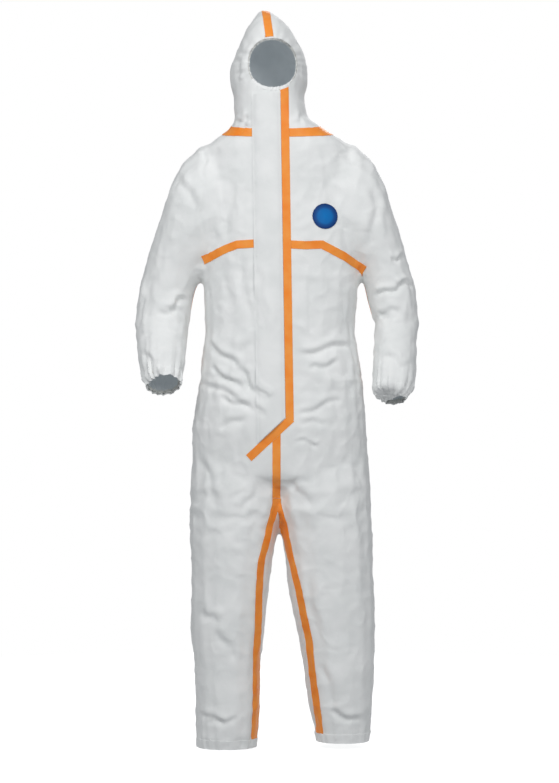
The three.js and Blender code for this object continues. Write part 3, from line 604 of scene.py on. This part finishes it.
MOUTHS = {name: hem_plane(name) for name in HEMS[1:]}
form = closed_form()
settle(form)
finer = form.modifiers.new("finer", "SUBSURF")
finer.levels = finer.render_levels = 1
bpy.context.view_layer.update()
fine = bpy.data.meshes.new_from_object(form.evaluated_get(bpy.context.evaluated_depsgraph_get()))
form.modifiers.clear()
form.data = fine
points, pairs = read(fine)
facing = normals(fine)
flat_front = np.clip((np.abs(points[:, 0] + 0.012) - 0.035) / 0.03, 0, 1)   # calm along the zip
flat_front = np.where((points[:, 1] < -0.05) & (points[:, 2] > 0.72), flat_front, 1.0)
depth = (creased(points, facing, FOLDS, -1) + creased(points, facing, BACK_FOLDS, 1)
         + crumpled(points)) * flat_front + rippled(points)
write(fine, points + facing * depth[:, None])

cloth = bmesh.new()
cloth.from_mesh(fine)
bpy.data.objects.remove(form)
CLOTH = BVHTree.FromBMesh(cloth)       # still closed over the zip and the openings

# ---- the zip's own directions ----------------------------------------------------------------------
UP = -Vector(JOINT["zip_slide"]["axis"]).normalized()
OUT = Vector(JOINT["pull_swing"]["axis"]).normalized()
ACROSS = UP.cross(OUT)                 # towards the wearer's left
low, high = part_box("zip_bottom_stop")
FOOT = (low + high) / 2
ZIP_LONG = reaching("zip_tape_right", UP)[1] - UP.dot(FOOT)
SLOT = reaching("zip_tape_left", ACROSS)[1] - ACROSS.dot(FOOT) - 0.0015   # a little over the tapes


owners, corners, faces = [], [], []
for name in PANELS + HEMS[1:] + ["zip_tape_right", "zip_tape_left", "zip_teeth_right", "zip_teeth_left"]:
    mesh = NODES[name].data
    first = len(corners)
    corners += [v.co.copy() for v in mesh.vertices]
    faces += [[first + i for i in polygon.vertices] for polygon in mesh.polygons]
    owners += [name] * len(mesh.polygons)
nearest = BVHTree.FromPolygons(corners, faces)


def owner_at(point):
    """The CAD piece that a place on the cloth lies nearest to."""
    return owners[nearest.find_nearest(point)[2]]


FACE_LOW, FACE_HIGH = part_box("face_hem")
FACE_MIDDLE = (FACE_LOW + FACE_HIGH) / 2
FACE_HALF = (FACE_HIGH - FACE_LOW) / 2 - Vector((0.004, 0, 0.004))    # to the middle of the hem
ROUND = 2.2                            # the face opening is a little squarer than an ellipse


def face_level(point):
    """1 on the middle of the face hem, less inside the opening, and large behind the face."""
    if point.y > FACE_HIGH.y + 0.02:
        return 9.0
    across, up = (point.x - FACE_MIDDLE.x) / FACE_HALF.x, (point.z - FACE_MIDDLE.z) / FACE_HALF.z
    return (abs(across) ** ROUND + abs(up) ** ROUND) ** (1 / ROUND)


def slice_near(where, point, normal, clear=False):
    """Cuts the cloth along a plane, only through the faces that `where` accepts."""
    faces = [f for f in cloth.faces if where(f.calc_center_median())]
    geom = set(faces) | {e for f in faces for e in f.edges} | {v for f in faces for v in f.verts}
    bmesh.ops.bisect_plane(cloth, geom=list(geom), plane_co=point, plane_no=normal, clear_outer=clear)


for name, (mouth, out) in MOUTHS.items():
    low_reach, high_reach = reaching(name, out)
    kin = ("sleeve", "cuff") if "cuff" in name else ("lower", "ankle")
    close = (lambda c, m=mouth, o=out, k=kin: (c - m).length < 0.17 and abs((c - m).dot(o)) < 0.05
             and owner_at(c).startswith(k))
    slice_near(close, mouth - out * 0.0002, out, clear=True)
    slice_near(close, mouth - out * (high_reach - low_reach), out)
for name, edge in (("yoke_right", 0), ("yoke_left", 1)):
    spot = Vector((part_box(name)[edge].x, 0, 0))
    slice_near(lambda c, s=spot: abs(c.x - s.x) < 0.02 and c.z > 1.08, spot, Vector((1, 0, 0)))
for sign in (-1, 1):
    slice_near(lambda c: c.y < -0.09 and abs((c - FOOT).dot(ACROSS)) < 0.04 and c.z > FOOT.z - 0.02,
               FOOT + ACROSS * sign * SLOT, ACROSS)

# Every face of the cloth belongs to the piece that it lies nearest to
share = {}
cloth.faces.ensure_lookup_table()
for face in cloth.faces:
    middle = face.calc_center_median()
    name = owner_at(middle)
    rise = (middle - FOOT).dot(UP)
    if middle.y < -0.09 and 0 < rise < ZIP_LONG and abs((middle - FOOT).dot(ACROSS)) < SLOT:
        name = "zip_tape_right"
    if face_level(middle) < 1:
        name = "face_hem"
    share.setdefault(name, set()).add(face.index)


def cut_out(name):
    """The named piece's part of the cloth, as a bmesh of its own."""
    bm = cloth.copy()
    bm.faces.ensure_lookup_table()
    rest = [f for f in bm.faces if f.index not in share[name]]
    bmesh.ops.delete(bm, geom=rest, context="FACES")
    for vert in bm.verts:
        level = face_level(vert.co)
        if vert.is_boundary and 0.85 < level < 1.15:       # a smooth edge under the face hem
            vert.co.x = FACE_MIDDLE.x + (vert.co.x - FACE_MIDDLE.x) / level
            vert.co.z = FACE_MIDDLE.z + (vert.co.z - FACE_MIDDLE.z) / level
    return bm


def thicken(bm, thickness, inner=None):
    """Gives a sheet its wall, inwards; the inner face takes its own material."""
    bm.normal_update()
    outer = list(bm.faces)
    made = bmesh.ops.solidify(bm, geom=outer, thickness=thickness)["geom"]
    if inner is not None:
        for face in made:
            if isinstance(face, bmesh.types.BMFace):
                face.material_index = inner
    return bm


def largest_sheet(bm):
    """Keeps the largest connected sheet and drops the crumbs that a seam can leave."""
    seen, best = set(), []
    for face in bm.faces:
        if face in seen:
            continue
        group, queue = [], [face]
        seen.add(face)
        while queue:
            one = queue.pop()
            group.append(one)
            for edge in one.edges:
                for other in edge.link_faces:
                    if other not in seen:
                        seen.add(other)
                        queue.append(other)
        best = group if len(group) > len(best) else best
    keep = set(best)
    bmesh.ops.delete(bm, geom=[f for f in bm.faces if f not in keep], context="FACES")
    return bm


# Each panel and each turned hem, cut out of the cloth and thickened into its own piece
for name in PANELS:
    bm = largest_sheet(cut_out(name))
    made = piece(name + "_cloth", thicken(bm, FABRIC, inner=1), [LAMINATE, INNER_PAINTED_SHADE_GLOW], stands_for=[name])
for name in HEMS[1:]:
    piece(name + "_turned", thicken(largest_sheet(cut_out(name)), -HEM_DEPTH), [HEMMING],
          stands_for=[name])


# ---- tapes, bands and badge laid on the cloth ---------------------------------------------------------
def laid(name, materials, lift, thickness):
    """Lays a CAD strip on the cloth: its outline stays, its surface follows the folds."""
    bm = copy_of(name)
    hidden = []
    for face in bm.faces:
        _, normal, _, _ = CLOTH.find_nearest(face.calc_center_median())
        if face.normal.dot(normal) < -0.1:
            hidden.append(face)
    bmesh.ops.delete(bm, geom=hidden, context="FACES")
    for _ in range(5):
        long = [e for e in bm.edges if e.calc_length() > CHORD]
        if not long:
            break
        bmesh.ops.subdivide_edges(bm, edges=long, cuts=1)
        bmesh.ops.triangulate(bm, faces=bm.faces)
    for vert in bm.verts:
        spot, normal, _, _ = CLOTH.find_nearest(vert.co)
        vert.co = spot + normal * (lift + thickness)
    bmesh.ops.delete(bm, geom=[f for f in bm.faces if max(e.calc_length() for e in f.edges) > 3 * CHORD],
                     context="FACES")
    bmesh.ops.remove_doubles(bm, verts=bm.verts, dist=0.0006)
    bmesh.ops.dissolve_degenerate(bm, edges=bm.edges, dist=0.0003)
    largest_sheet(bm)
    under, rims = list(bm.faces), list(bm.edges)
    feet = list(bm.verts)
    bmesh.ops.extrude_face_region(bm, geom=under + rims, use_keep_orig=True)
    for vert in feet:
        vert.co -= CLOTH.find_nearest(vert.co)[1] * thickness
    bmesh.ops.recalc_face_normals(bm, faces=bm.faces)
    return piece(name + "_laid", bm, materials, stands_for=[name])


for slot, finish, lift, thickness in (("seam_tape", SEAM_FILM, TAPE_LIFT - 0.0004, TAPE_THICKNESS),
                                      ("badge", LABEL, 0.0006, 0.0006),
                                      ("adhesive", RELEASE, 0.0005, 0.0005),
                                      ("elastic", ELASTIC, -0.0036, 0.0010)):
    for part in frame["record"]["subparts"]:
        if part["material_slot"] == slot:
            laid(part["node"], [finish], lift, thickness)


# ---- face hem --------------------------------------------------------------------------------------------
def grid(columns, rows, place):
    """A sheet of columns by rows faces; place(u, v) puts each corner, with u and v from 0 to 1."""
    bm = bmesh.new()
    bmesh.ops.create_grid(bm, x_segments=columns, y_segments=rows, size=0.5)
    for vert in bm.verts:
        vert.co = place(vert.co.x + 0.5, vert.co.y + 0.5)
    bmesh.ops.remove_doubles(bm, verts=bm.verts, dist=1e-6)
    return bm


def front_of(x, z, fallback):
    """Where the cloth's front lies at a place seen from the front."""
    hit, _, _, _ = CLOTH.ray_cast(Vector((x, -1.0, z)), Vector((0, 1, 0)))
    return hit.y if hit else fallback


def face_ring():
    low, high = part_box("face_hem")
    centre, half_wide, half_tall = (low + high) / 2, (high.x - low.x) / 2, (high.z - low.z) / 2

    def place(u, v):
        angle, round_ = 2 * math.pi * u, 2 * math.pi * v
        cos, sin = math.cos(angle), math.sin(angle)
        reach = (abs(cos) ** ROUND + abs(sin) ** ROUND) ** (-1 / ROUND)
        gather = 0.0009 * math.sin(34 * angle + 3 * math.sin(5 * angle))
        band = HEM_ROLL * math.cos(round_)
        grow = -0.0040 + band + 0.4 * gather
        x = centre.x + cos * reach * (half_wide + grow)
        z = centre.z + sin * reach * (half_tall + grow)
        edge_x = centre.x + cos * reach * (half_wide + 0.002)
        edge_z = centre.z + sin * reach * (half_tall + 0.002)
        inwards = 0.0030 * (1 - (band / HEM_ROLL)) / 2
        y = front_of(edge_x, edge_z, centre.y) + inwards - 0.0017 * math.sin(round_) + gather + 0.0004
        return Vector((x, y, z))
    bm = grid(320, 14, place)
    bmesh.ops.recalc_face_normals(bm, faces=bm.faces)
    return piece("face_hem_rolled", bm, [HEMMING], stands_for=["face_hem"])


face_ring()


# ---- storm flap ------------------------------------------------------------------------------------------
def storm_flap():
    low_reach, high_reach = reaching("storm_flap", ACROSS)
    axis = ACROSS.dot(FOOT)
    free, root = low_reach - axis, high_reach - axis
    box_low, box_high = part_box("storm_flap")

    def place(u, v):
        across = free + (root - free) * u
        bottom = box_low.z + 0.001 + FOOT_SLOPE * (across - free)
        top = box_high.z - 0.002 - 0.004 * (1 - u)
        z = bottom + (top - bottom) * v
        spot = FOOT + ACROSS * across + UP * ((z - FOOT.z) / UP.z)
        surface = min(front_of(spot.x, z, spot.y), spot.y + 0.010)
        swell = math.sin(math.pi * min(1, max(0, (u - 0.06) / 0.9))) ** 0.6
        wave = 0.0005 * math.sin(38 * v + 5 * u) * (1 - u)
        return Vector((spot.x, surface - 0.0026 - 0.0058 * swell + wave, z))
    bm = grid(26, 240, place)
    bm.normal_update()
    if sum(f.normal.y for f in bm.faces) > 0:
        bmesh.ops.reverse_faces(bm, faces=bm.faces)
    spots = np.array([vert.co[:] for vert in bm.verts])
    ahead = np.tile([0.0, -1.0, 0.0], (len(spots), 1))
    sewn = np.clip((root - (spots - np.array(FOOT)) @ np.array(ACROSS)) / 0.02, 0, 1)
    long_folds = [(x0, z0, x1 + 22, z1 - 6, d, w) for x0, z0, x1, z1, d, w in FOLDS if x1 < -40 < x1 + 20]
    lift = np.clip(creased(spots, ahead, long_folds, -1), -0.0012, 0.003) * sewn
    for vert, by in zip(bm.verts, lift):
        vert.co += OUT * float(by)
    made = piece("storm_flap_cloth", thicken(bm, FLAP_FABRIC, inner=1), [LAMINATE, INNER_PAINTED_SHADE_GLOW], body=None,
                 stands_for=["storm_flap"])
    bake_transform(made)
    return made


storm_flap()


# ---- zip -----------------------------------------------------------------------------------------------
def coil(side, sign):
    """One row of nylon coil: short rounded bars a pitch apart, in mesh with the other row's."""
    low_reach, high_reach = reaching(f"zip_teeth_{side}", UP)
    count = int((high_reach - low_reach) / COIL_PITCH)
    base = UP.dot(FOOT)
    bm = bmesh.new()
    for i in range(count):
        up = low_reach - base + COIL_PITCH * (i + (0.75 if sign > 0 else 0.25))
        bar = bmesh.ops.create_cone(bm, cap_ends=True, segments=8, radius1=COIL_RADIUS,
                                    radius2=COIL_RADIUS * 0.8, depth=COIL_BAR)["verts"]
        turn = (-ACROSS * sign).to_track_quat("Z", "Y")
        for vert in bar:
            vert.co = turn @ vert.co + FOOT + UP * up + ACROSS * sign * 0.0019 + OUT * 0.0004
    for x, y in ((0.0038, 0.0), (0.0031, 0.0009)):
        cord = bmesh.ops.create_cone(bm, cap_ends=True, segments=10, radius1=0.0009, radius2=0.0009,
                                     depth=high_reach - low_reach)["verts"]
        turn = UP.to_track_quat("Z", "Y")
        for vert in cord:
            vert.co = (turn @ vert.co + FOOT + UP * ((low_reach + high_reach) / 2 - base)
                       + ACROSS * sign * x + OUT * y * 0.3)
    return piece(f"zip_coil_{side}", bm, [NYLON], stands_for=[f"zip_teeth_{side}"])


for side, sign in (("right", -1), ("left", 1)):
    coil(side, sign)
for part in frame["record"]["subparts"]:
    finish = {"zip_tape": ZIP_CLOTH, "zip_teeth": NYLON, "slider": ENAMEL}.get(part["material_slot"])
    if finish:
        mesh = NODES[part["node"]].data
        mesh.materials.clear()
        mesh.materials.append(finish)
cloth.free()
